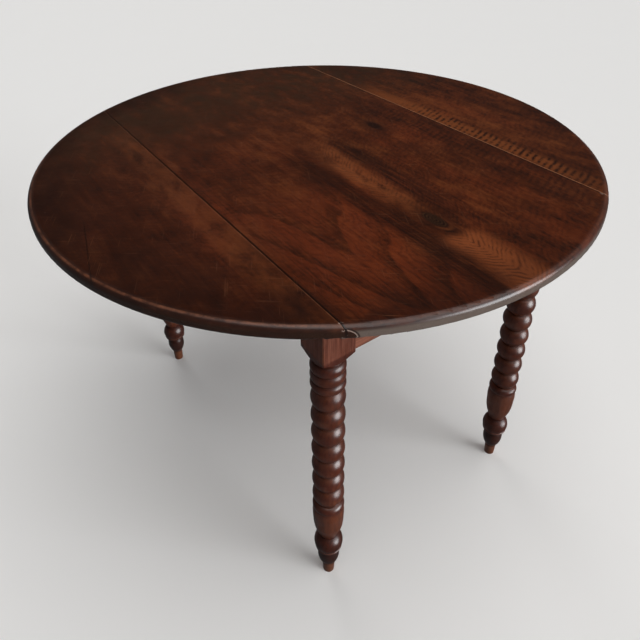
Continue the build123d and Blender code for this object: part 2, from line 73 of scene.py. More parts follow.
class Tree:
    """Adds nodes to one tree. Wherever a value is asked for, a socket may be given instead."""

    COLUMN, ROW, ROWS = 190, 170, 7

    def __init__(self, tree):
        self.tree = tree

    def node(self, kind, inputs=None, **settings):
        """One node, with its settings and what feeds its inputs."""
        made = self.tree.nodes.new(kind)
        count = len(self.tree.nodes)
        made.location = (count // self.ROWS * self.COLUMN, -(count % self.ROWS) * self.ROW)
        for name, value in settings.items():
            setattr(made, name, value)
        for key, value in (inputs or {}).items():
            self.feed(made.inputs[key], value)
        return made

    def feed(self, socket, value):
        """Link a socket, or set its value."""
        if isinstance(value, bpy.types.NodeSocket):
            self.tree.links.new(value, socket)
        elif socket.type == "RGBA":
            socket.default_value = (*value[:3], 1.0)
        else:
            socket.default_value = value

    def math(self, operation, first, second=0.0, third=0.0):
        """Result of one sum."""
        inputs = {0: first, 1: second, 2: third}
        return self.node("ShaderNodeMath", inputs, operation=operation).outputs[0]

    def add(self, first, second):
        return self.math("ADD", first, second)

    def minus(self, first, second):
        return self.math("SUBTRACT", first, second)

    def scale_add(self, value, scale, offset):
        """A value times a scale, plus an offset."""
        return self.math("MULTIPLY_ADD", value, scale, offset)

    def times(self, first, *others):
        for other in others:
            first = self.math("MULTIPLY", first, other)
        return first

    def divide(self, first, second):
        return self.math("DIVIDE", first, second)

    def absolute(self, value):
        return self.math("ABSOLUTE", value)

    def invert(self, value):
        return self.minus(1.0, value)

    def strongest(self, first, *others):
        for other in others:
            first = self.math("MAXIMUM", first, other)
        return first

    def length(self, *parts):
        """Root of the sum of squares."""
        total = self.times(parts[0], parts[0])
        for part in parts[1:]:
            total = self.math("MULTIPLY_ADD", part, part, total)
        return self.math("SQRT", total)

    def ease(self, value, start, end, low=0.0, high=1.0):
        """Smooth rise from low at start to high at end; start may be the larger."""
        inputs = {"Value": value, "From Min": start, "From Max": end, "To Min": low, "To Max": high}
        made = self.node("ShaderNodeMapRange", inputs, interpolation_type="SMOOTHSTEP")
        return made.outputs["Result"]

    def band(self, value, start, end, soft):
        """1 between start and end, falling smoothly to 0 outside over soft."""
        rise = self.ease(value, start - soft, start + soft)
        fall = self.ease(value, end + soft, end - soft)
        return self.times(rise, fall)

    def bell(self, value, centre, reach):
        """1 at centre, 0 at reach away from it."""
        return self.ease(self.absolute(self.minus(value, centre)), reach, 0.0)

    def step(self, value, edge):
        return self.math("GREATER_THAN", value, edge)

    def split(self, vector):
        return self.node("ShaderNodeSeparateXYZ", {0: vector}).outputs

    def join(self, x=0.0, y=0.0, z=0.0):
        return self.node("ShaderNodeCombineXYZ", {0: x, 1: y, 2: z}).outputs[0]

    def stretch(self, vector, factors):
        inputs = {0: vector, 1: factors}
        return self.node("ShaderNodeVectorMath", inputs, operation="MULTIPLY").outputs[0]

    def shift(self, vector, offset):
        inputs = {0: vector, 1: offset}
        return self.node("ShaderNodeVectorMath", inputs, operation="ADD").outputs[0]

    def noise(self, vector, scale=1.0, detail=2.0, roughness=0.5, distortion=0.0):
        """Cloud noise, 0 to 1."""
        inputs = {
            "Vector": vector,
            "Scale": scale,
            "Detail": detail,
            "Roughness": roughness,
            "Distortion": distortion,
        }
        return self.node("ShaderNodeTexNoise", inputs).outputs["Fac"]

    def mix(self, amount, first, second, blend="MIX"):
        """Colour mix."""
        inputs = {0: amount, 6: first, 7: second}
        made = self.node("ShaderNodeMix", inputs, data_type="RGBA", blend_type=blend)
        return made.outputs[2]

    def blend(self, amount, first, second):
        """Value mix."""
        inputs = {0: amount, 2: first, 3: second}
        return self.node("ShaderNodeMix", inputs, data_type="FLOAT").outputs[0]

    def ramp(self, value, *stops):
        """Colour ramp through (position, colour) stops."""
        made = self.node("ShaderNodeValToRGB", {0: value})
        elements = made.color_ramp.elements
        while len(elements) < len(stops):
            elements.new(1.0)
        for element, (position, colour) in zip(elements, stops):
            element.position = position
            element.color = (*colour[:3], 1.0)
        return made.outputs[0]

    def group(self, tree, inputs):
        """Outputs of a shared group placed with these values."""
        made = self.node("ShaderNodeGroup", node_tree=tree)
        for key, value in inputs.items():
            self.feed(made.inputs[key], value)
        return made.outputs


def shared_group(name, inputs, outputs, build):
    """The group of this name, made on first use; build(tree, inputs) returns its outputs."""
    if name in bpy.data.node_groups:
        return bpy.data.node_groups[name]
    group = bpy.data.node_groups.new(name, "ShaderNodeTree")
    for label, kind, value in inputs:
        socket = group.interface.new_socket(label, in_out="INPUT", socket_type=kind)
        if value is not None:
            socket.default_value = value
    for label in outputs:
        group.interface.new_socket(label, in_out="OUTPUT", socket_type="NodeSocketFloat")
    tree = Tree(group)
    ends = tree.node("NodeGroupOutput")
    results = build(tree, tree.node("NodeGroupInput").outputs)
    for label, result in zip(outputs, results):
        tree.feed(ends.inputs[label], result)
    return group


FLOAT = "NodeSocketFloat"
VECTOR = "NodeSocketVector"


def grain_group():
    """Growth rings, streaks and pores of a board whose grain runs along the vector's Y."""

    def build(t, given):
        vector = given["Vector"]
        seeded = t.shift(vector, t.join(given["Seed"], given["Seed"], given["Seed"]))
        wander = t.minus(t.noise(t.stretch(seeded, (4.5, 1.1, 4.5)), 1.0, 2.0), 0.5)
        sway = t.minus(t.noise(t.stretch(seeded, (22.0, 5.0, 22.0)), 1.0, 2.0), 0.5)
        x, y, z = t.split(vector)[:3]
        across = t.add(t.minus(x, given["Pith X"]), t.times(wander, given["Wander"]))
        across = t.add(across, t.times(sway, given["Wander"], 0.16))
        depth = t.scale_add(y, given["Taper"], given["Pith Depth"])
        depth = t.add(t.add(depth, z), t.times(wander, given["Wander"], 0.6))
        phase = t.divide(t.length(across, depth), given["Ring Width"])
        tooth = t.math("FRACT", phase)
        late = t.times(t.math("POWER", tooth, 2.2), t.ease(tooth, 1.0, 0.9))
        streaks = t.noise(t.stretch(seeded, (230.0, 7.0, 230.0)), 1.0, 5.0, 0.62)
        fine = t.noise(t.stretch(seeded, (900.0, 26.0, 900.0)), 1.0, 2.0)
        ticks = t.noise(t.stretch(seeded, (2300.0, 120.0, 2300.0)), 1.0, 1.0)
        pores = t.ease(ticks, 0.60, 0.74)
        clouds = t.noise(t.stretch(seeded, (10.0, 2.6, 10.0)), 1.0, 4.0, 0.6)
        return late, t.blend(0.4, streaks, fine), pores, clouds

    inputs = [
        ("Vector", VECTOR, None),
        ("Seed", FLOAT, 0.0),
        ("Pith X", FLOAT, 0.0),
        ("Pith Depth", FLOAT, 0.06),
        ("Taper", FLOAT, 0.05),
        ("Ring Width", FLOAT, 0.009),
        ("Wander", FLOAT, 0.05),
    ]
    return shared_group("wood grain", inputs, ("Rings", "Streaks", "Pores", "Clouds"), build)


def ripple_group():
    """Curly figure: short bars across the grain, meeting in a V at the centre line."""

    def build(t, given):
        x, y, z = t.split(given["Vector"])[:3]
        side = t.absolute(t.minus(x, given["Centre X"]))
        stir = t.noise(t.stretch(given["Vector"], (30.0, 22.0, 30.0)), 1.0, 2.0)
        climb = t.scale_add(side, given["Slope"], y)
        climb = t.scale_add(stir, given["Stir"], climb)
        phase = t.divide(climb, given["Pitch"])
        wave = t.math("SINE", t.times(phase, math.tau))
        wave = t.scale_add(wave, 0.5, 0.5)
        fade = t.noise(t.stretch(given["Vector"], (120.0, 45.0, 120.0)), 1.0, 2.0)
        return (t.times(t.math("POWER", wave, 1.6), t.ease(fade, 0.28, 0.62)),)

    inputs = [
        ("Vector", VECTOR, None),
        ("Centre X", FLOAT, 0.0),
        ("Slope", FLOAT, 0.5),
        ("Pitch", FLOAT, 0.008),
        ("Stir", FLOAT, 0.02),
    ]
    return shared_group("curly figure", inputs, ("Bars",), build)


def specks_group():
    """Small flecks, one in some of the cells of a given spacing."""

    def build(t, given):
        scale = t.divide(1.0, given["Spacing"])
        cell = t.node("ShaderNodeTexVoronoi", {"Vector": given["Vector"], "Scale": scale})
        reach = t.divide(given["Size"], given["Spacing"])
        chosen = t.step(t.split(cell.outputs["Color"])[0], given["Bare Share"])
        near = t.ease(cell.outputs["Distance"], reach, t.times(reach, 0.6))
        return (t.times(near, chosen),)

    inputs = [
        ("Vector", VECTOR, None),
        ("Spacing", FLOAT, 0.03),
        ("Size", FLOAT, 0.0008),
        ("Bare Share", FLOAT, 0.7),
    ]
    return shared_group("flecks", inputs, ("Mask",), build)


def scuffs_group():
    """Fine scratches in two directions, and soft rubbed patches."""

    def build(t, given):
        x, y, z = t.split(given["Vector"])[:3]
        masks = []
        for lean, seed in ((0.55, 3.1), (-1.3, 8.7)):
            along = t.add(t.scale_add(x, lean, y), seed)
            across = t.add(t.scale_add(y, -lean, x), z)
            lines = t.noise(t.join(t.times(across, 620.0), t.times(along, 11.0), seed), 1.0, 1.0)
            masks.append(t.ease(lines, 0.71, 0.76))
        rub = t.noise(given["Vector"], given["Patch Scale"], 4.0, 0.6)
        return t.strongest(*masks), t.ease(rub, 0.35, 0.7)

    inputs = [("Vector", VECTOR, None), ("Patch Scale", FLOAT, 14.0)]
    return shared_group("scuffs", inputs, ("Scratches", "Rubbed"), build)


def edge_wear_and_highlight_group():
    """Pale line along an edge, broken up by noise: wear on the legs' block corners, wear and a painted
    highlight along the top's rim and seams.
    """

    def build(t, given):
        line = t.ease(given["Distance"], given["Width"], t.times(given["Width"], 0.25))
        broken = t.noise(given["Vector"], 60.0, 4.0, 0.65)
        return (t.times(line, t.ease(broken, given["Bare Share"], 0.72)),)

    inputs = [
        ("Vector", VECTOR, None),
        ("Distance", FLOAT, 0.0),
        ("Width", FLOAT, 0.002),
        ("Bare Share", FLOAT, 0.35),
    ]
    return shared_group("edge wear and highlight", inputs, ("Mask",), build)


# Materials ---------------------------------------------------------------------------------------


def new_finish(name, **constants):
    """A material with its node tree and shader; constants are set on the shader's own sockets."""
    material = bpy.data.materials.new(name)
    material.use_nodes = True
    material.node_tree.nodes.clear()
    t = Tree(material.node_tree)
    shader = t.node("ShaderNodeBsdfPrincipled")
    output = t.node("ShaderNodeOutputMaterial")
    t.tree.links.new(shader.outputs[0], output.inputs[0])
    for label, value in constants.items():
        t.feed(shader.inputs[label.replace("_", " ")], value)
    vector = t.node("ShaderNodeTexCoord").outputs["Object"]
    return material, t, shader, vector


def set_bump(t, shader, height, strength, distance):
    """Feed the shader's normal from a height."""
    inputs = {"Height": height, "Strength": strength, "Distance": distance}
    t.feed(shader.inputs["Normal"], t.node("ShaderNodeBump", inputs).outputs[0])


def dress(material, *names):
    """Give these pieces one finish."""
    for name in names:
        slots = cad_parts[name].material_slots
        for slot in slots:
            slot.material = material


def nodes_named(*starts):
    """Names of the frame's pieces that begin with any of these words, in order."""
    return [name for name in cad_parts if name.startswith(starts)]


def around_knot(t, x, y, knot, reach):
    """Grain coordinate that flows round a knot, and the distance from the knot in its own radii."""
    knot_x, knot_y, half_width, half_length = knot
    gap_x = t.minus(x, knot_x)
    gap_y = t.minus(y, knot_y)
    distance = t.length(t.divide(gap_x, half_width), t.divide(gap_y, half_length))
    pull = t.ease(distance, reach, 0.0, 0.0, 0.72)
    return t.add(knot_x, t.times(gap_x, t.invert(pull))), distance


def colour_setting(name, description, default):
    """A colour, red, green and blue from 0 to 1."""
    return FloatVectorProperty(
        name=name, description=description, subtype="COLOR", size=3, min=0, max=1, default=default
    )


def length_setting(name, description, default, least, most):
    """A length in metres."""
    limits = {"min": least, "max": most, "default": default}
    return FloatProperty(name=name, description=description, subtype="DISTANCE", unit="LENGTH", **limits)


def angle_setting(name, description, degrees):
    """An angle, kept in radians."""
    kind = {"subtype": "ANGLE", "unit": "ROTATION"}
    return FloatProperty(name=name, description=description, default=math.radians(degrees), **kind)


def strength_setting(name, description, default):
    """Strength of a light."""
    return FloatProperty(name=name, description=description, min=0, max=20, default=default)


class TopSettings(PropertyGroup):
    """Colours and sizes of the top's finish."""

    # Dark: darkest streaks, dirt, blotches and pores, and also painted shade on the left leaf and rim and
    # painted shadow in the joint's hollow
    dark: colour_setting("Dark Heartwood", "Darkest streaks, dirt and wax", (0.0120, 0.0030, 0.0013))
    middle: colour_setting("Walnut", "Ordinary colour of the boards", (0.060, 0.0122, 0.0030))
    # Light: lightest streaks, and also painted light on the right leaf
    light: colour_setting("Light Streak", "Lightest streaks of the boards", (0.170, 0.046, 0.0120))
    pale: colour_setting("Pale Heart", "Pale strip along the middle", (0.235, 0.066, 0.0200))
    flame: colour_setting("Red Flame", "Red figure and ruddy patches", (0.150, 0.026, 0.0065))
    # Olive: the wood's own olive in the knots, rim face and underside, and also a painted sheen at the far
    # side
    olive_and_far_sheen: colour_setting("Olive and Far Sheen", "Olive wood, and painted sheen at the far side", (0.046, 0.0205, 0.0078))
    # Painted sheen on the rim face of the fixed boards
    painted_rim_sheen: colour_setting("Rim Sheen", "Rim of the fixed boards", (0.120, 0.090, 0.074))
    # Chips: chipped edges and flecks, and also the painted highlight on the tongue's edge
    chip_and_highlight: colour_setting("Chips", "Chipped edges and flecks", (0.42, 0.31, 0.26))
    # Worn edge: scratches and wear, and also the painted highlights in the seam and rim lines
    worn: colour_setting("Worn Edge", "Edges rubbed through the finish", (0.36, 0.150, 0.072))
    bare: colour_setting("Bare Underside", "Unfinished wood under the top", (0.150, 0.078, 0.042))
    ring_width: length_setting("Ring Width", "Width of one growth ring", 0.0068, 0.003, 0.03)
    curl_pitch: length_setting("Curl Pitch", "Spacing of the bars at the right seam", 0.0140, 0.003, 0.03)


class LegSettings(PropertyGroup):
    """Colours of the legs, rails, pegs and inner parts."""

    dark: colour_setting("Grooves", "Darkened grooves and pores", (0.0110, 0.0032, 0.0018))
    middle: colour_setting("Turned Walnut", "Ordinary colour of the legs", (0.068, 0.0112, 0.0034))
    # Light: lightest streaks and rubbed crests, and also the painted glow on the bead flanks
    light: colour_setting("Light Streak", "Lightest streaks and rubbed crests", (0.165, 0.048, 0.0170))
    foot: colour_setting("Worn Foot", "Peg at the bottom of a leg", (0.150, 0.050, 0.0200))
    # Rail: rails and blocks, and also the painted highlights on the lips of the vase and ball
    rail: colour_setting("Rail", "Rails and the legs' square blocks", (0.215, 0.075, 0.0440))
    peg: colour_setting("Peg Rim Sheen", "Ends of the pegs", (0.060, 0.021, 0.011))
    inner: colour_setting("Inner Wood", "Plain wood of the hidden parts", (0.230, 0.130, 0.066))
    ring_width: length_setting("Ring Width", "Width of one growth ring", 0.0052, 0.002, 0.02)


class MetalSettings(PropertyGroup):
    """Colours of the hinges, pins and screws."""

    iron: colour_setting("Hinge Iron", "Hinge plates", (0.075, 0.066, 0.058))
    steel: colour_setting("Pins and Screws", "Pins and screws", (0.30, 0.29, 0.27))
    rust: colour_setting("Rust", "Rust on all the metal", (0.150, 0.052, 0.020))


class StageSettings(PropertyGroup):
    """Floor, light and camera."""

    floor: colour_setting("Floor", "Pale floor", (0.86, 0.855, 0.845))
    air: colour_setting("Room Light", "Light from all round", (0.97, 0.98, 1.0))
    air_strength: strength_setting("Room Strength", "Light from all round", 0.07)
    backdrop_strength: strength_setting("Backdrop Strength", "Brightness seen behind the floor", 0.80)
    key_strength: strength_setting("Window Strength", "Low light from the front", 4.4)
    back_strength: strength_setting("Doorway Strength", "Low light from behind", 1.2)
    fill_strength: strength_setting("Ceiling Strength", "Broad light from above", 1.75)
    camera_place: FloatVectorProperty(
        name="Camera Place",
        description="Where the camera stands",
        subtype="TRANSLATION",
        unit="LENGTH",
        default=(-0.6278, -0.9034, 1.2319),
    )
    camera_turn: angle_setting("Camera Turn", "Turn to the right of the table's long way", 34.55)
    camera_tilt: angle_setting("Camera Tilt", "Tilt down from level", 32.04)
    camera_roll: angle_setting("Camera Roll", "Roll about its own line of sight", -0.87)
    lens: FloatProperty(
        name="Lens", description="Focal length in millimetres", unit="CAMERA", min=10, max=200, default=33.7
    )
    shift_x: FloatProperty(name="Shift X", description="Sideways shift of the frame", default=0.0066)
    shift_y: FloatProperty(name="Shift Y", description="Upward shift of the frame", default=-0.148)


class TableSettings(PropertyGroup):
    """All the table's settings."""

    top: PointerProperty(type=TopSettings, name="Top", description="Finish of the top")
    legs: PointerProperty(type=LegSettings, name="Legs", description="Finish of the legs and the frame")
    metal: PointerProperty(type=MetalSettings, name="Metal", description="Finish of the metal")
    stage: PointerProperty(type=StageSettings, name="Stage", description="Floor, light and camera")


# Knots of the top: X, Y, half width and half length in metres
LONG_KNOT = (-0.010, -0.340, 0.0125, 0.030)
SMALL_KNOT = (0.160, 0.014, 0.012, 0.024)

# The four boards from left to right: place of the heart, and seed of the grain
BOARD_PITHS = (-0.395, -0.160, 0.155, 0.440)
SEED_STEPS = (3.7, 5.3, 2.9)

# Patches of the top: X from and to, Y from and to, softness across and along, in metres
FAR_SHADE = ((-0.30, -0.02), (0.26, 0.60), 0.05, 0.08)
FLAMES = ((-0.262, -0.075), (-0.62, -0.16), 0.04, 0.10)
LEFT_BAND = ((-0.327, -0.20), (-0.60, 0.26), 0.010, 0.12)
DARK_LEFT_OF_HEART = ((-0.086, -0.042), (-0.62, -0.02), 0.014, 0.10)
DARK_RIGHT_OF_HEART = ((0.016, 0.062), (-0.335, -0.02), 0.016, 0.06)
HEART = ((-0.030, 0.010), (-0.265, 0.05), 0.018, 0.12)
HEART_BELOW_KNOT = ((-0.042, 0.022), (-0.62, -0.392), 0.020, 0.022)
ROUND_HEART = ((-0.10, 0.085), (-0.62, 0.02), 0.02, 0.08)
STRONG_CURL = ((SEAM_X + 0.004, SEAM_X + 0.050), (-0.430, 0.04), 0.010, 0.06)
FAINT_CURL = ((0.195, SEAM_X + 0.02), (-0.50, 0.10), 0.03, 0.10)
LIT_STRIP = ((SEAM_X, SEAM_X + 0.038), (-0.42, 0.18), 0.012, 0.10)

# Curly figure of the top, in metres but for the slope
QUILT = {"Centre X": 0.0, "Slope": -0.55, "Pitch": 0.014, "Stir": 0.050}
FLAME_TONGUES = {"Centre X": -0.165, "Slope": -2.6, "Pitch": 0.034, "Stir": 0.150}
HEART_CURL = {"Centre X": -0.010, "Slope": -1.0, "Pitch": 0.0100, "Stir": 0.026}
SEAM_CURL = {"Centre X": 0.20, "Slope": -0.34, "Stir": 0.010}

# How strongly each feature of the top shows, 0 to 1
TOP_SHOWS = {
    "ruddy drift": 0.45, "painted shade on left leaf": 0.30, "painted light on right leaf": 0.20, "far shade": 0.65,
    "red flames": 0.52, "flame tongues": 0.34, "flame rings": 0.16, "left band": 0.34,
    "dark beside heart": 0.84, "heart below knot": 0.92, "heart curl": 0.60, "lit strip": 0.80,
    "strong curl": 0.95, "faint curl": 0.45, "round long knot": 0.45, "knot halo": 0.45,
    "long knot": 0.93, "round small knot": 0.55, "small knot": 0.90, "painted shade on left rim": 0.55,
    "rim face": 0.60, "tongue edge highlight": 0.72, "shadow in hollow": 0.95, "chips": 0.60, "flecks": 0.6,
    "crack": 0.85, "pores": 0.32, "scratches": 0.16,
}

# The pale line beside each seam, wear and a painted highlight: its place, strength, side and bare share
SEAM_WEAR_AND_HIGHLIGHT_LINES = ((SEAM_X, 0.88, 1, 0.02), (-SEAM_X, 0.22, -1, 0.30))
SEAM_LINE_OFFSET = 0.0014
SEAM_LINE_WIDTH = 0.0019

# Heights and depths from the top's faces and rim, in metres
FACE_DEPTH = 0.002
LINE_DEPTH = 0.0035
RIM_ROUNDING = 0.012
RIM_LINE_INSET = 0.0062
DIRT_INSET = 0.0008


def top_finish(s):
    """Old oiled walnut: figured boards, ripple at the right seam, worn and dark along the rim; painted
    shade on the left, painted light on the right leaf, painted sheen at the far side and on the rim,
    painted highlights and shadow at the seams and joint.
    """
    material, t, shader, vector = new_finish(
        "oiled walnut top", Specular_IOR_Level=0.12, Coat_Roughness=0.34, Coat_IOR=1.5
    )
    x, y, z = t.split(vector)[:3]
    rim = t.length(x, y)
    past_edges = [t.step(x, edge) for edge in (-SEAM_X, 0.0, SEAM_X)]
    past_left_seam, _, past_right_seam = past_edges

    at_left, at_middle, at_right = [t.times(passed, step) for passed, step in zip(past_edges, SEED_STEPS)]

    def by_board(values):
        """Value that changes from board to board."""
        total = values[0]
        for passed, before, after in zip(past_edges, values, values[1:]):
            total = t.add(total, t.times(passed, after - before))
        return total

    flow, long_gap = around_knot(t, x, y, LONG_KNOT, 3.6)
    flow, small_gap = around_knot(t, flow, y, SMALL_KNOT, 3.2)
    grain = t.group(
        grain_group(),
        {
            "Vector": t.join(flow, y, z), "Seed": t.add(at_left, t.add(at_middle, at_right)),
            "Pith X": by_board(BOARD_PITHS), "Pith Depth": 0.062, "Taper": -0.052,
            "Ring Width": s.ring_width, "Wander": 0.070,
        },
    )
    rings, streaks, pores, clouds = (grain[k] for k in ("Rings", "Streaks", "Pores", "Clouds"))

    def curl(values):
        """Bars of one kind of curly figure."""
        return t.group(ripple_group(), {"Vector": vector, **values})["Bars"]

    # Tone of the plain wood
    tone = t.scale_add(streaks, 0.86, -0.08)
    tone = t.scale_add(clouds, 0.85, t.minus(tone, 0.33))
    tone = t.minus(tone, t.times(rings, 0.075))
    tone = t.minus(tone, t.times(t.minus(curl(QUILT), 0.25), 0.110))
    mottle = t.noise(t.stretch(vector, (34.0, 17.0, 34.0)), 1.0, 6.0, 0.72)
    tone = t.scale_add(mottle, 0.88, t.minus(tone, 0.44))
    colour = t.ramp(tone, (0.08, s.dark), (0.46, s.middle), (0.92, s.light))

    def lay(feature, mask, over):
        """The colour so far, with a feature's colour laid over it."""
        return t.mix(t.times(mask, TOP_SHOWS[feature]), colour, over)

    # Uneven borders for the patches that follow
    stir = t.minus(t.noise(t.stretch(vector, (9.0, 5.0, 9.0)), 1.0, 4.0, 0.6), 0.5)
    x_loose = t.scale_add(stir, 0.030, x)
    y_loose = t.scale_add(stir, 0.110, y)

    def patch(x_range, y_range, soft_x, soft_y):
        """1 inside a patch with uneven borders."""
        across = t.band(x_loose, *x_range, soft_x)
        return t.times(across, t.band(y_loose, *y_range, soft_y))

    # Redder and browner drifts; the left leaf darker as painted shade, the right leaf lighter as painted
    # light
    drift = t.noise(t.stretch(vector, (7.0, 3.2, 7.0)), 1.0, 4.0, 0.62)
    ruddy = t.times(t.ease(drift, 0.46, 0.66), t.ease(y_loose, 0.20, -0.10), t.ease(tone, 0.15, 0.60))
    colour = lay("ruddy drift", ruddy, s.flame)
    colour = lay("painted shade on left leaf", t.invert(past_left_seam), s.dark)
    colour = lay("painted light on right leaf", t.times(past_right_seam, t.ease(tone, 0.2, 0.7)), s.light)

    # Far side: painted sheen, darker and greener olive towards the back, and a patch of far shade
    far = t.times(t.ease(y_loose, 0.04, 0.36), t.ease(mottle, 0.68, 0.32, 0.20, 0.85))
    colour = t.mix(far, colour, t.mix(0.35, s.olive_and_far_sheen, s.dark))
    shade = t.times(patch(*FAR_SHADE), t.ease(drift, 0.60, 0.42))
    colour = lay("far shade", shade, t.mix(0.5, s.olive_and_far_sheen, s.dark))

    # Red flames in the left half of the middle
    flames = patch(*FLAMES)
    lit = t.ease(t.minus(streaks, t.times(rings, 0.30)), 0.22, 0.55)
    colour = lay("red flames", t.times(flames, lit), s.flame)
    colour = lay("flame tongues", t.times(flames, curl(FLAME_TONGUES)), s.dark)
    colour = lay("flame rings", t.times(flames, rings), s.dark)

    # Orange band on the left leaf, beside its seam
    band = t.times(patch(*LEFT_BAND), t.invert(past_left_seam), t.ease(mottle, 0.30, 0.62))
    colour = lay("left band", band, s.light)

    # Dark streaks on both sides of the pale heart of the middle
    beside = t.strongest(patch(*DARK_LEFT_OF_HEART), patch(*DARK_RIGHT_OF_HEART))
    colour = lay("dark beside heart", t.times(beside, t.ease(streaks, 0.80, 0.36)), s.dark)

    # Pale heart with its V-shaped curl, above and below the knot
    heart = t.times(patch(*HEART), t.ease(mottle, 0.20, 0.62))
    heart_low = patch(*HEART_BELOW_KNOT)
    colour = t.mix(t.times(heart, t.ease(y_loose, 0.02, -0.15, 0.30, 0.78)), colour, s.pale)
    colour = lay("heart below knot", heart_low, t.mix(0.30, s.pale, s.flame))
    rippled = t.strongest(heart, heart_low, t.times(patch(*ROUND_HEART), 0.55))
    colour = lay("heart curl", t.times(rippled, curl(HEART_CURL)), s.dark)

    # Strong bars on the right leaf beside its seam, faint ones on the other side of the seam
    bars = curl({**SEAM_CURL, "Pitch": s.curl_pitch})
    colour = lay("lit strip", t.times(patch(*LIT_STRIP), past_right_seam), s.light)
    colour = lay("strong curl", t.times(patch(*STRONG_CURL), past_right_seam, bars), s.dark)
    colour = lay("faint curl", t.times(patch(*FAINT_CURL), bars), s.dark)

    # Knots
    knot_y = LONG_KNOT[1]
    core = t.ease(long_gap, 1.05, 0.75)
    halo = t.times(t.bell(long_gap, 1.12, 0.30), t.ease(y_loose, knot_y, knot_y - 0.03))
    colour = lay("round long knot", t.ease(long_gap, 2.4, 0.9), s.dark)
    colour = lay("knot halo", halo, s.light)
    knot_rings = t.math("SINE", t.times(long_gap, 26.0))
    knot_colour = t.mix(t.ease(knot_rings, -0.6, 1.0), s.dark, s.olive_and_far_sheen)
    colour = lay("long knot", core, t.mix(0.35, knot_colour, s.dark))
    small_core = t.ease(t.add(small_gap, t.times(stir, 2.2)), 1.25, 0.55)
    colour = lay("round small knot", t.ease(small_gap, 3.4, 0.8), s.dark)
    colour = lay("small knot", small_core, s.dark)

    # Rim: blotches darker towards the rim, made stronger on the left as painted shade; a darker olive face;
    # a painted sheen, paler and greyer, on the face of the fixed boards
    rim_blotches = t.noise(t.stretch(vector, (7.0, 7.0, 7.0)), 1.0, 4.0, 0.6)
    rim_dark = t.ease(rim, RIM_RADIUS - 0.13, RIM_RADIUS - RIM_ROUNDING)
    # Painted shade: the rim's darkening made stronger towards the left
    rim_dark = t.times(rim_dark, t.ease(rim_blotches, 0.34, 0.56), t.ease(x, 0.05, -0.20, 0.30, 0.70))
    colour = t.mix(rim_dark, colour, s.dark)
    # Painted shade: the far left of the left leaf and its rim darkened
    left_rim_shade = t.times(t.ease(x_loose, -0.36, -0.50), t.band(y_loose, -0.16, 0.30, 0.08))
    colour = lay("painted shade on left rim", left_rim_shade, s.dark)
    rim_face = t.step(rim, RIM_RADIUS - RIM_ROUNDING)
    rim_face = t.times(rim_face, t.ease(z, TOP_Z - LINE_DEPTH, TOP_Z - 0.009))
    colour = lay("rim face", rim_face, t.mix(0.35, s.dark, s.olive_and_far_sheen))
    from_axis = t.length(t.minus(t.absolute(x), SEAM_X), t.minus(z, SWING_Z))
    off_tongue = t.invert(t.step(TONGUE_RADIUS, from_axis))
    # Painted sheen: the rim face of the fixed boards, off the tongue, turned paler and greyer
    painted_rim_sheen = t.times(rim_face, past_left_seam, t.invert(past_right_seam), off_tongue)
    colour = t.mix(t.times(painted_rim_sheen, t.ease(rim_blotches, 0.25, 0.6, 0.55, 0.95)), colour, s.painted_rim_sheen)

    # Pale line on the rim's upper edge, stronger on the left leaf: wear, and a painted highlight on the
    # rounding
    line = t.group(
        edge_wear_and_highlight_group(),
        {
            "Vector": vector, "Distance": t.absolute(t.minus(rim, RIM_RADIUS - RIM_LINE_INSET)),
            "Width": 0.0030, "Bare Share": 0.30,
        },
    )["Mask"]
    line = t.times(line, t.step(z, TOP_Z - 0.004), t.ease(x, -0.27, -0.31, 0.16, 0.62))
    colour = t.mix(line, colour, t.mix(0.45, s.flame, s.worn))

    # Joint seen end on at the rim: painted highlight on the edge of the tongue, painted shadow in the
    # hollow above it
    seen_end = t.times(t.step(rim, RIM_RADIUS - 0.010), t.step(SEAM_X + 0.001, t.absolute(x)))
    tongue_edge_highlight = t.bell(from_axis, TONGUE_RADIUS - 0.0008, 0.0013)
    hollow_shadow = t.bell(from_axis, TONGUE_RADIUS + 0.0012, 0.0016)
    colour = lay("tongue edge highlight", t.times(seen_end, tongue_edge_highlight), s.chip_and_highlight)
    colour = lay("shadow in hollow", t.times(seen_end, hollow_shadow), s.dark)

    # Seams: a pale line on the leaf side, wear and a painted highlight; dirt packed along the fixed side
    for edge, strength, side, bare_share in SEAM_WEAR_AND_HIGHLIGHT_LINES:
        line = t.group(
            edge_wear_and_highlight_group(),
            {
                "Vector": vector, "Distance": t.absolute(t.minus(x, edge + side * SEAM_LINE_OFFSET)),
                "Width": SEAM_LINE_WIDTH, "Bare Share": bare_share,
            },
        )["Mask"]
        line = t.times(line, t.step(z, TOP_Z - LINE_DEPTH))
        colour = t.mix(t.times(line, strength), colour, s.worn)
    packed = t.ease(t.absolute(t.minus(t.absolute(x), SEAM_X - DIRT_INSET)), 0.0022, 0.0006)
    colour = t.mix(t.times(packed, t.ease(x, 0.05, -0.05, 0.55, 1.0)), colour, s.dark)

    # Chipped ends of the seams, and specks of old paint
    seam_end = t.ease(t.absolute(t.minus(t.absolute(x), SEAM_X)), 0.0050, 0.0015)
    seam_end = t.times(seam_end, t.ease(rim, RIM_RADIUS - 0.022, RIM_RADIUS - 0.008))
    chips = t.ease(t.noise(vector, 190.0, 2.0), 0.58, 0.64)
    colour = lay("chips", t.times(seam_end, chips), s.chip_and_highlight)
    flecks = t.group(specks_group(), {"Vector": vector, "Spacing": 0.034, "Bare Share": 0.86})["Mask"]
    colour = lay("flecks", t.times(flecks, t.ease(x, 0.10, -0.35)), s.chip_and_highlight)

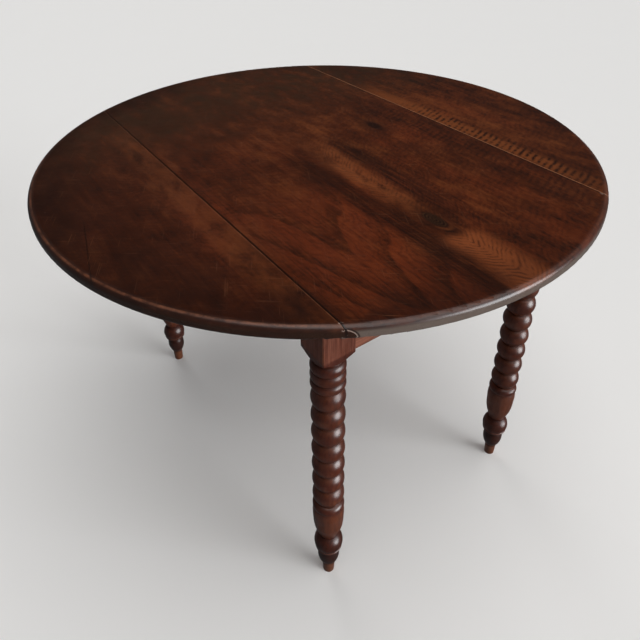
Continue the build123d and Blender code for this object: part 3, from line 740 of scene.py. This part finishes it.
    # A long hairline crack on the left leaf
    lean = t.scale_add(y, -0.234, x)
    from_crack = t.absolute(t.add(t.scale_add(stir, 0.004, lean), 0.466))
    crack = t.times(t.ease(from_crack, 0.0016, 0.0004), t.band(y, -0.21, -0.02, 0.02))
    crack = t.times(crack, t.invert(past_left_seam))
    colour = lay("crack", crack, s.dark)

    # Pores and scratches
    colour = lay("pores", pores, s.dark)
    scuffs = t.group(scuffs_group(), {"Vector": vector})
    scratched = t.times(scuffs["Scratches"], t.step(z, TOP_Z - FACE_DEPTH))
    colour = lay("scratches", scratched, s.worn)

    # Underside: bare, with saw marks
    under = t.ease(z, UNDERSIDE_Z + 0.0012, UNDERSIDE_Z + 0.0003)
    saw = t.noise(t.stretch(vector, (3.0, 330.0, 1.0)), 1.0, 1.0)
    bare = t.mix(t.ease(streaks, 0.25, 0.75), t.mix(0.45, s.bare, s.middle), s.bare)
    bare = t.mix(t.times(t.ease(saw, 0.45, 0.7), 0.35), bare, s.middle)
    bare = t.mix(t.times(t.ease(clouds, 0.55, 0.35), 0.45), bare, s.olive_and_far_sheen)
    colour = t.mix(under, colour, bare)

    roughness = t.scale_add(streaks, 0.14, 0.30)
    roughness = t.add(roughness, t.times(scuffs["Rubbed"], 0.10))
    roughness = t.minus(roughness, t.times(rim_face, 0.14))
    roughness = t.add(roughness, t.times(pores, 0.10))
    roughness = t.blend(under, roughness, 0.82)
    coat = t.ease(rim, RIM_RADIUS - 0.014, RIM_RADIUS - 0.004, 0.02, 0.95)
    height = t.minus(t.times(streaks, 0.5), t.times(pores, 0.55))
    height = t.minus(height, t.times(core, 0.5))
    height = t.minus(height, t.times(crack, 0.8))
    height = t.add(height, t.times(under, saw, 0.7))
    height = t.add(height, t.times(t.noise(vector, 24.0, 2.0), 1.1))
    t.feed(shader.inputs["Base Color"], colour)
    t.feed(shader.inputs["Roughness"], roughness)
    t.feed(shader.inputs["Coat Weight"], t.times(t.invert(under), coat))
    set_bump(t, shader, height, 0.32, 0.0006)
    return material


# How strongly each feature of the legs shows, 0 to 1
LEG_SHOWS = {
    "vase": 0.42, "foot": 0.65, "ball": 0.30, "bulb": 0.62, "flank glow": 0.30, "grooves": 0.42,
    "lip highlights": 0.40, "crests": 0.32, "block": 0.60, "block corners": 0.55, "pores": 0.40,
    "scratches": 0.12,
}

# Grooves between the turned shapes: height and reach of the darkening in them
DARKENED_GROOVES = ((FOOT_TOP_Z, 0.005), (BALL_LOW_Z, 0.006), (VASE_LOW_Z, 0.008), (VASE_HIGH_Z, 0.003))
RING_GROOVE_REACH = 0.0032
# Painted highlights on the lips: their heights and reach
LIP_HIGHLIGHT_HEIGHTS = (VASE_HIGH_Z + 0.0012, BALL_LOW_Z + 0.008)
LIP_HIGHLIGHT_REACH = 0.0018


def leg_finish(s):
    """Turned walnut under old varnish: darkened grooves, rubbed crests, a dark bulb and a worn foot;
    painted glow on the bead flanks and painted highlights on the lips.
    """
    material, t, shader, vector = new_finish(
        "turned walnut", Specular_IOR_Level=0.20, Coat_Roughness=0.33, Coat_IOR=1.5
    )
    x, y, z = t.split(vector)[:3]
    own_x = t.minus(t.absolute(x), LEG_X)
    own_y = t.minus(t.absolute(y), LEG_Y)
    radius = t.length(own_x, own_y)
    seed = t.add(t.times(t.step(x, 0.0), 4.3), t.times(t.step(y, 0.0), 7.9))
    grain = t.group(
        grain_group(),
        {
            "Vector": t.join(own_x, z, own_y), "Seed": seed, "Pith X": 0.035, "Pith Depth": 0.045,
            "Taper": 0.03, "Ring Width": s.ring_width, "Wander": 0.030,
        },
    )
    rings, streaks, pores, clouds = (grain[k] for k in ("Rings", "Streaks", "Pores", "Clouds"))
    tone = t.scale_add(streaks, 0.85, -0.08)
    tone = t.scale_add(clouds, 0.55, t.minus(tone, 0.20))
    tone = t.minus(tone, t.times(rings, 0.18))
    colour = t.ramp(tone, (0.05, s.dark), (0.48, s.middle), (0.95, s.light))

    def lay(feature, mask, over):
        """The colour so far, with a feature's colour laid over it."""
        return t.mix(t.times(mask, LEG_SHOWS[feature]), colour, over)

    # Lighter vase and foot, darker ball and bulb
    vase = t.band(z, VASE_LOW_Z + 0.010, VASE_HIGH_Z - 0.004, 0.006)
    colour = lay("vase", t.times(vase, t.ease(streaks, 0.25, 0.6)), s.light)
    colour = lay("foot", t.ease(z, FOOT_TOP_Z + 0.012, FOOT_TOP_Z - 0.006), s.foot)
    colour = lay("ball", t.band(z, BALL_LOW_Z + 0.004, VASE_LOW_Z - 0.008, 0.006), s.dark)
    colour = lay("bulb", t.band(z, FOOT_TOP_Z + 0.004, BALL_LOW_Z - 0.002, 0.005), s.dark)

    # Flanks of the beads painted lighter and redder than their crests: a painted glow
    beads = t.band(z, VASE_HIGH_Z + 0.014, SHOULDER_Z - 0.030, 0.004)
    flank_glow = t.times(beads, t.ease(radius, BEAD_CREST - 0.0010, BEAD_NECK + 0.0040))
    colour = lay("flank glow", t.times(flank_glow, t.ease(streaks, 0.25, 0.6)), s.light)

    # Grooves darkened in blotches
    groove = t.times(beads, t.ease(radius, BEAD_NECK + 0.0035, BEAD_NECK + 0.0006))
    for height, reach in DARKENED_GROOVES:
        groove = t.strongest(groove, t.bell(z, height, reach))
    for height in RING_NECKS_Z:
        groove = t.strongest(groove, t.times(t.bell(z, height, RING_GROOVE_REACH), 0.9))
    blotch = t.noise(vector, 46.0, 3.0, 0.6)
    groove = t.times(groove, t.ease(blotch, 0.25, 0.55, 0.7, 1.0))
    colour = lay("grooves", groove, s.dark)

    # Painted highlights: pale bands on the lips of the vase and of the ball
    for height in LIP_HIGHLIGHT_HEIGHTS:
        colour = lay("lip highlights", t.bell(z, height, LIP_HIGHLIGHT_REACH), s.rail)

    # Crests rubbed lighter and redder
    crest = t.times(beads, t.ease(radius, BEAD_CREST - 0.0022, BEAD_CREST - 0.0001))
    scuffs = t.group(scuffs_group(), {"Vector": vector, "Patch Scale": 34.0})
    colour = lay("crests", t.times(crest, scuffs["Rubbed"]), s.light)

    # Square block: planed faces and worn corners
    block = t.ease(z, SHOULDER_Z + 0.001, SHOULDER_Z + 0.006)
    colour = lay("block", block, t.mix(t.ease(streaks, 0.3, 0.7), s.middle, s.rail))
    corner = t.minus(2 * BLOCK_HALF, t.add(t.absolute(own_x), t.absolute(own_y)))
    worn = t.group(
        edge_wear_and_highlight_group(), {"Vector": vector, "Distance": corner, "Width": 0.0042, "Bare Share": 0.36}
    )["Mask"]
    colour = lay("block corners", t.times(worn, block), s.light)
    colour = lay("pores", pores, s.dark)
    colour = lay("scratches", scuffs["Scratches"], s.light)

    roughness = t.scale_add(scuffs["Rubbed"], 0.12, 0.36)
    roughness = t.add(roughness, t.times(groove, 0.20))
    roughness = t.add(roughness, t.times(block, 0.10))
    coat = t.blend(groove, t.ease(blotch, 0.30, 0.62, 0.45, 1.0), 0.20)
    coat = t.times(coat, t.ease(block, 0.0, 1.0, 1.0, 0.25))
    height = t.minus(t.times(streaks, 0.45), t.times(pores, 0.5))
    lathe = t.noise(t.join(0.0, 0.0, z), 1500.0, 2.0)
    height = t.add(height, t.times(lathe, t.invert(block), 0.16))
    height = t.add(height, t.times(t.noise(vector, 85.0, 4.0, 0.6), 1.7))
    t.feed(shader.inputs["Base Color"], colour)
    t.feed(shader.inputs["Roughness"], roughness)
    t.feed(shader.inputs["Coat Weight"], coat)
    set_bump(t, shader, height, 0.30, 0.0005)
    return material


def board_finish(name, along, tints, seed, roughness_low, coat, saw_marks):
    """Plain board for rails and inner parts, in light, middle and dark; the grain runs along an axis."""
    light, middle, dark = tints
    material, t, shader, vector = new_finish(name, Specular_IOR_Level=0.22, Coat_Roughness=0.25)
    x, y, z = t.split(vector)[:3]
    turned, side = {"x": (t.join(z, x, y), y), "y": (t.join(z, y, x), x)}[along]
    seeds = t.scale_add(t.step(side, 0.0), 2.7, seed)
    grain = t.group(
        grain_group(),
        {
            "Vector": turned, "Seed": seeds, "Pith X": 0.56, "Pith Depth": 0.10, "Taper": 0.03,
            "Ring Width": 0.0062, "Wander": 0.012,
        },
    )
    rings, streaks, pores, clouds = (grain[k] for k in ("Rings", "Streaks", "Pores", "Clouds"))
    tone = t.scale_add(streaks, 0.9, -0.1)
    tone = t.scale_add(clouds, 0.55, t.minus(tone, 0.22))
    tone = t.minus(tone, t.times(rings, 0.10))
    colour = t.ramp(tone, (0.02, dark), (0.45, middle), (0.95, light))
    colour = t.mix(t.times(pores, 0.38), colour, dark)
    scuffs = t.group(scuffs_group(), {"Vector": vector, "Patch Scale": 20.0})
    colour = t.mix(t.times(scuffs["Scratches"], 0.14), colour, light)
    saw = t.ease(t.noise(t.stretch(turned, (4.0, 310.0, 4.0)), 1.0, 1.0), 0.42, 0.7)
    colour = t.mix(t.times(saw, 0.30 * saw_marks), colour, dark)
    roughness = t.scale_add(scuffs["Rubbed"], 0.14, roughness_low)
    height = t.minus(t.times(streaks, 0.5), t.times(pores, 0.5))
    height = t.add(height, t.times(saw, 0.9 * saw_marks))
    height = t.add(height, t.times(t.noise(vector, 40.0, 3.0), 0.7))
    t.feed(shader.inputs["Base Color"], colour)
    t.feed(shader.inputs["Roughness"], roughness)
    t.feed(shader.inputs["Coat Weight"], coat)
    set_bump(t, shader, height, 0.30, 0.0006)
    return material


def peg_finish(s):
    """End grain of the pegs: darker, ringed, a little proud with age."""
    material, t, shader, vector = new_finish("peg end grain", Specular_IOR_Level=0.4)
    cells = t.noise(vector, 1300.0, 2.0)
    rings = t.noise(t.stretch(vector, (260.0, 260.0, 420.0)), 1.0, 3.0, 0.6)
    tone = t.scale_add(rings, 0.8, t.times(cells, 0.25))
    colour = t.ramp(tone, (0.2, s.dark), (0.5, s.peg), (0.85, s.middle))
    t.feed(shader.inputs["Base Color"], colour)
    t.feed(shader.inputs["Roughness"], t.scale_add(cells, 0.25, 0.38))
    set_bump(t, shader, t.add(cells, rings), 0.35, 0.0004)
    return material


def metal_finish(name, base, rust, rust_share, roughness_low):
    """Old iron or steel: browned in patches, lightly scratched, finely pitted."""
    material, t, shader, vector = new_finish(name, Specular_IOR_Level=0.5)
    patches = t.noise(vector, 130.0, 5.0, 0.62)
    pits = t.noise(vector, 1700.0, 3.0, 0.6)
    brown = t.ease(patches, 0.62 - rust_share, 0.74 - rust_share)
    tint = t.ramp(pits, (0.25, [0.55 * part for part in base]), (0.75, base))
    colour = t.mix(t.times(brown, 0.75), tint, rust)
    scuffs = t.group(scuffs_group(), {"Vector": vector, "Patch Scale": 90.0})
    colour = t.mix(t.times(scuffs["Scratches"], 0.35), colour, [1.9 * part for part in base])
    t.feed(shader.inputs["Base Color"], colour)
    t.feed(shader.inputs["Metallic"], t.scale_add(brown, -0.6, 0.95))
    roughness = t.scale_add(brown, 0.30, roughness_low)
    t.feed(shader.inputs["Roughness"], t.scale_add(pits, 0.12, roughness))
    set_bump(t, shader, t.add(pits, t.times(brown, 0.6)), 0.35, 0.0003)
    return material


# Operators ---------------------------------------------------------------------------------------


class TABLE_OT_finish_top(Operator):
    """Finish the fixed top and both leaves in figured walnut"""

    bl_idname = "table.finish_top"
    bl_label = "Finish Top and Leaves"
    bl_options = {"REGISTER", "UNDO"}

    def execute(self, context):
        material = top_finish(context.scene.table_settings.top)
        dress(material, *nodes_named("top_board", "leaf_"))
        return {"FINISHED"}


class TABLE_OT_finish_legs(Operator):
    """Finish the four turned legs"""

    bl_idname = "table.finish_legs"
    bl_label = "Finish Legs"
    bl_options = {"REGISTER", "UNDO"}

    def execute(self, context):
        dress(leg_finish(context.scene.table_settings.legs), *nodes_named("leg_"))
        return {"FINISHED"}


class TABLE_OT_finish_rails(Operator):
    """Finish the end rails and side rails"""

    bl_idname = "table.finish_rails"
    bl_label = "Finish Rails"
    bl_options = {"REGISTER", "UNDO"}

    def execute(self, context):
        s = context.scene.table_settings.legs
        for along, start in (("x", "end_rail"), ("y", "side_rail")):
            name = start.replace("_", " ") + " walnut"
            tints = (s.light, s.rail, s.dark)
            sheen = {"roughness_low": 0.36, "coat": 0.22, "saw_marks": 0.0}
            material = board_finish(name, along, tints, seed=1.3, **sheen)
            dress(material, *nodes_named(start))
        return {"FINISHED"}


class TABLE_OT_finish_inner_parts(Operator):
    """Finish the corner blocks, fly blocks and swinging brackets"""

    bl_idname = "table.finish_inner_parts"
    bl_label = "Finish Blocks and Brackets"
    bl_options = {"REGISTER", "UNDO"}

    def execute(self, context):
        s = context.scene.table_settings.legs
        tints = ([1.35 * part for part in s.inner], s.inner, s.rail)
        sheen = {"roughness_low": 0.58, "coat": 0.03, "saw_marks": 1.0}
        material = board_finish("inner wood", "y", tints, seed=4.4, **sheen)
        names = nodes_named("corner_block_front", "corner_block_back", "bracket_front", "bracket_back")
        dress(material, *names, "fly_block_left", "fly_block_right")
        return {"FINISHED"}


class TABLE_OT_finish_pegs(Operator):
    """Finish the pegs that pin the tenons"""

    bl_idname = "table.finish_pegs"
    bl_label = "Finish Pegs"
    bl_options = {"REGISTER", "UNDO"}

    def execute(self, context):
        dress(peg_finish(context.scene.table_settings.legs), "tenon_pegs")
        return {"FINISHED"}


class TABLE_OT_finish_hinges(Operator):
    """Finish the hinge plates in browned iron"""

    bl_idname = "table.finish_hinges"
    bl_label = "Finish Hinge Plates"
    bl_options = {"REGISTER", "UNDO"}

    def execute(self, context):
        s = context.scene.table_settings.metal
        material = metal_finish("browned iron", s.iron, s.rust, rust_share=0.10, roughness_low=0.42)
        dress(material, *nodes_named("hinge_frame_plates", "hinge_leaf_plates"))
        return {"FINISHED"}


class TABLE_OT_finish_screws(Operator):
    """Finish the screws, hinge pins and bracket pins in dull steel"""

    bl_idname = "table.finish_screws"
    bl_label = "Finish Screws and Pins"
    bl_options = {"REGISTER", "UNDO"}

    def execute(self, context):
        s = context.scene.table_settings.metal
        material = metal_finish("dull steel", s.steel, s.rust, rust_share=0.02, roughness_low=0.34)
        screws = [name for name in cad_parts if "screws" in name]
        dress(material, *screws, *nodes_named("hinge_pins", "bracket_pin"))
        return {"FINISHED"}


# Stage: size and facets of the round floor, and the lights' directions, softness and tints
FLOOR_RADIUS = 40.0
FLOOR_RINGS = 12
FLOOR_SIDES = 96
FLOOR_MOTTLE = (0.80, 0.795, 0.785)
JOIN_DISTANCE = 1e-5
LAMP_DISTANCE = 4.0
WINDOW = ((0.46, -0.86, 0.12), math.radians(40), (0.96, 0.98, 1.0))
CEILING = ((0.15, -0.25, 1.0), math.radians(70), (1.0, 0.985, 0.97))
DOORWAY = ((0.15, 0.97, 0.20), math.radians(40), (1.0, 0.99, 0.98))


def floor_mesh(radius, rings, sides):
    """Flat round floor, with rings that grow outward so that its edge stays smooth."""
    mesh = bpy.data.meshes.new("floor")
    shape = bmesh.new()
    reach = [radius * (index / rings) ** 2 for index in range(rings + 1)]
    points = [shape.verts.new((distance, 0.0, 0.0)) for distance in reach]
    edges = [shape.edges.new(pair) for pair in zip(points, points[1:])]
    turn = {"cent": (0, 0, 0), "axis": (0, 0, 1), "angle": math.tau, "steps": sides}
    bmesh.ops.spin(shape, geom=points + edges, use_merge=True, **turn)
    bmesh.ops.remove_doubles(shape, verts=shape.verts, dist=JOIN_DISTANCE)
    bmesh.ops.recalc_face_normals(shape, faces=shape.faces)
    shape.to_mesh(mesh)
    shape.free()
    return mesh


def soft_sun(name, strength, from_direction, softness, colour):
    """Even, soft light that arrives from a direction; softness is the angle it fills."""
    data = bpy.data.lights.new(name, "SUN")
    data.energy = strength
    data.angle = softness
    data.color = colour
    lamp = bpy.data.objects.new(name, data)
    lamp.rotation_euler = Vector(from_direction).to_track_quat("Z", "Y").to_euler()
    lamp.location = LAMP_DISTANCE * Vector(from_direction).normalized()
    bpy.context.scene.collection.objects.link(lamp)
    return lamp


def camera_matrix(place, turn, tilt, roll):
    """Placement of a camera turned right of +Y, tilted down and rolled."""
    ahead = Vector((math.sin(turn) * math.cos(tilt), math.cos(turn) * math.cos(tilt), -math.sin(tilt)))
    right = Vector((math.cos(turn), -math.sin(turn), 0.0))
    up = right.cross(ahead)
    side = math.cos(roll) * right + math.sin(roll) * up
    top = math.cos(roll) * up - math.sin(roll) * right
    matrix = Matrix((side, top, -ahead)).transposed().to_4x4()
    matrix.translation = place
    return matrix


class TABLE_OT_set_stage(Operator):
    """Set the pale floor, the soft studio light and the camera"""

    bl_idname = "table.set_stage"
    bl_label = "Set Floor, Light and Camera"
    bl_options = {"REGISTER", "UNDO"}

    def execute(self, context):
        s = context.scene.table_settings.stage
        scene = context.scene
        floor = bpy.data.objects.new("floor", floor_mesh(FLOOR_RADIUS, FLOOR_RINGS, FLOOR_SIDES))
        scene.collection.objects.link(floor)
        material, t, shader, vector = new_finish("pale floor", Specular_IOR_Level=0.2)
        mottle = t.noise(vector, 2.0, 3.0)
        tone = t.mix(t.ease(mottle, 0.3, 0.7, 0.0, 0.04), s.floor, FLOOR_MOTTLE)
        t.feed(shader.inputs["Base Color"], tone)
        t.feed(shader.inputs["Roughness"], t.scale_add(mottle, 0.05, 0.75))
        floor.data.materials.append(material)
        floor.visible_glossy = False

        soft_sun("window", s.key_strength, *WINDOW)
        soft_sun("ceiling", s.fill_strength, *CEILING)
        doorway = soft_sun("doorway", s.back_strength, *DOORWAY)
        doorway.visible_glossy = False

        world = bpy.data.worlds.new("room")
        world.use_nodes = True
        w = Tree(world.node_tree)
        sky = world.node_tree.nodes["Background"]
        seen = w.node("ShaderNodeLightPath").outputs["Is Camera Ray"]
        w.feed(sky.inputs["Color"], s.air)
        w.feed(sky.inputs["Strength"], w.blend(seen, s.air_strength, s.backdrop_strength))
        scene.world = world
        scene.view_settings.view_transform = "Standard"

        data = bpy.data.cameras.new("camera")
        data.lens = s.lens
        data.shift_x, data.shift_y = s.shift_x, s.shift_y
        camera = bpy.data.objects.new("camera", data)
        place = (s.camera_place, s.camera_turn, s.camera_tilt, s.camera_roll)
        camera.matrix_world = camera_matrix(*place)
        scene.collection.objects.link(camera)
        scene.camera = camera
        return {"FINISHED"}


OPERATORS = (
    TABLE_OT_finish_top,
    TABLE_OT_finish_legs,
    TABLE_OT_finish_rails,
    TABLE_OT_finish_inner_parts,
    TABLE_OT_finish_pegs,
    TABLE_OT_finish_hinges,
    TABLE_OT_finish_screws,
    TABLE_OT_set_stage,
)


class TABLE_PT_pieces(Panel):
    """Lists the steps that finish the table"""

    bl_idname = "TABLE_PT_pieces"
    bl_label = "Drop-leaf Table"
    bl_space_type = "VIEW_3D"
    bl_region_type = "UI"
    bl_category = "Table"

    def draw(self, context):
        column = self.layout.column(align=True)
        for operator in OPERATORS:
            column.operator(operator.bl_idname)


SETTINGS = (TopSettings, LegSettings, MetalSettings, StageSettings, TableSettings)


def register():
    """Add the settings, operators and panel."""
    for kind in (*SETTINGS, *OPERATORS, TABLE_PT_pieces):
        bpy.utils.register_class(kind)
    bpy.types.Scene.table_settings = PointerProperty(
        type=TableSettings, name="Table Settings", description="Finishes, floor, light and camera"
    )


def unregister():
    """Remove them again."""
    del bpy.types.Scene.table_settings
    for kind in reversed((*SETTINGS, *OPERATORS, TABLE_PT_pieces)):
        bpy.utils.unregister_class(kind)


def main():
    """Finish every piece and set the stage."""
    register()
    for operator in OPERATORS:
        area, action = operator.bl_idname.split(".")
        getattr(getattr(bpy.ops, area), action)()


if __name__ == "__main__":
    main()
